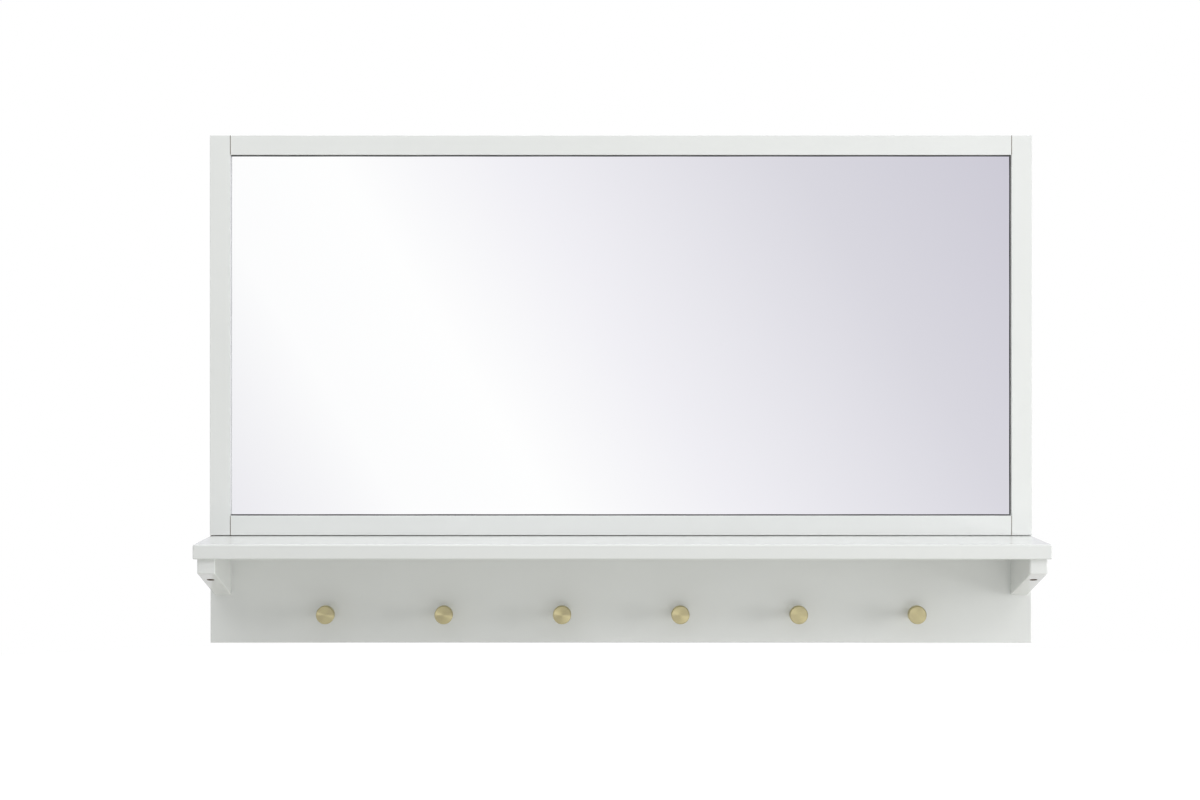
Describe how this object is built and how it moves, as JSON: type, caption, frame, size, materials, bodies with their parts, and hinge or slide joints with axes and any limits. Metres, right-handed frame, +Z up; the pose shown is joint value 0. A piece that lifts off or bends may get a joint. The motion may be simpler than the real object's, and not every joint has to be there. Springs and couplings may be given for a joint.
{
  "type": "mirror with shelf",
  "caption": "Wall mirror in a square-edged white wooden frame, with a full-width shelf on wedge brackets and a board below it with turned brass pegs; hangs on keyhole plates.",
  "frame": {"origin": "on the wall plane, midway between the entry holes of the two keyhole plates", "axes": "+X to the viewer's right, +Y into the wall, +Z up; the mirror faces -Y"},
  "size_m": [0.8636, 0.127, 0.5334],
  "materials": {
    "white_lacquer": "semi-gloss white lacquer on wood",
    "mirror": "silvered glass",
    "black_tape": "black foam tape",
    "hardboard": "bare brown hardboard",
    "beech": "bare beech",
    "brass": "turned satin brass",
    "zinc_steel": "zinc-plated steel"
  },
  "bodies": {
    "root": {"left_stile": "white_lacquer", "right_stile": "white_lacquer", "top_rail": "white_lacquer", "bottom_rail": "white_lacquer", "frame_dowels": "beech", "board_dowels": "beech", "glazing_tape": "black_tape", "mirror_glass": "mirror", "backing_board": "hardboard", "framer_points": "zinc_steel", "peg_board": "white_lacquer", "shelf_board": "white_lacquer", "left_bracket": "white_lacquer", "right_bracket": "white_lacquer", "peg_screws": "zinc_steel", "shelf_screws": "zinc_steel", "bracket_rear_screws": "zinc_steel", "bracket_screws": "zinc_steel", "left_hanger_plate": "zinc_steel", "right_hanger_plate": "zinc_steel", "hanger_screws": "zinc_steel", "peg_1": "brass", "peg_2": "brass", "peg_3": "brass", "peg_4": "brass", "peg_5": "brass", "peg_6": "brass"}
  },
  "joints": []
}
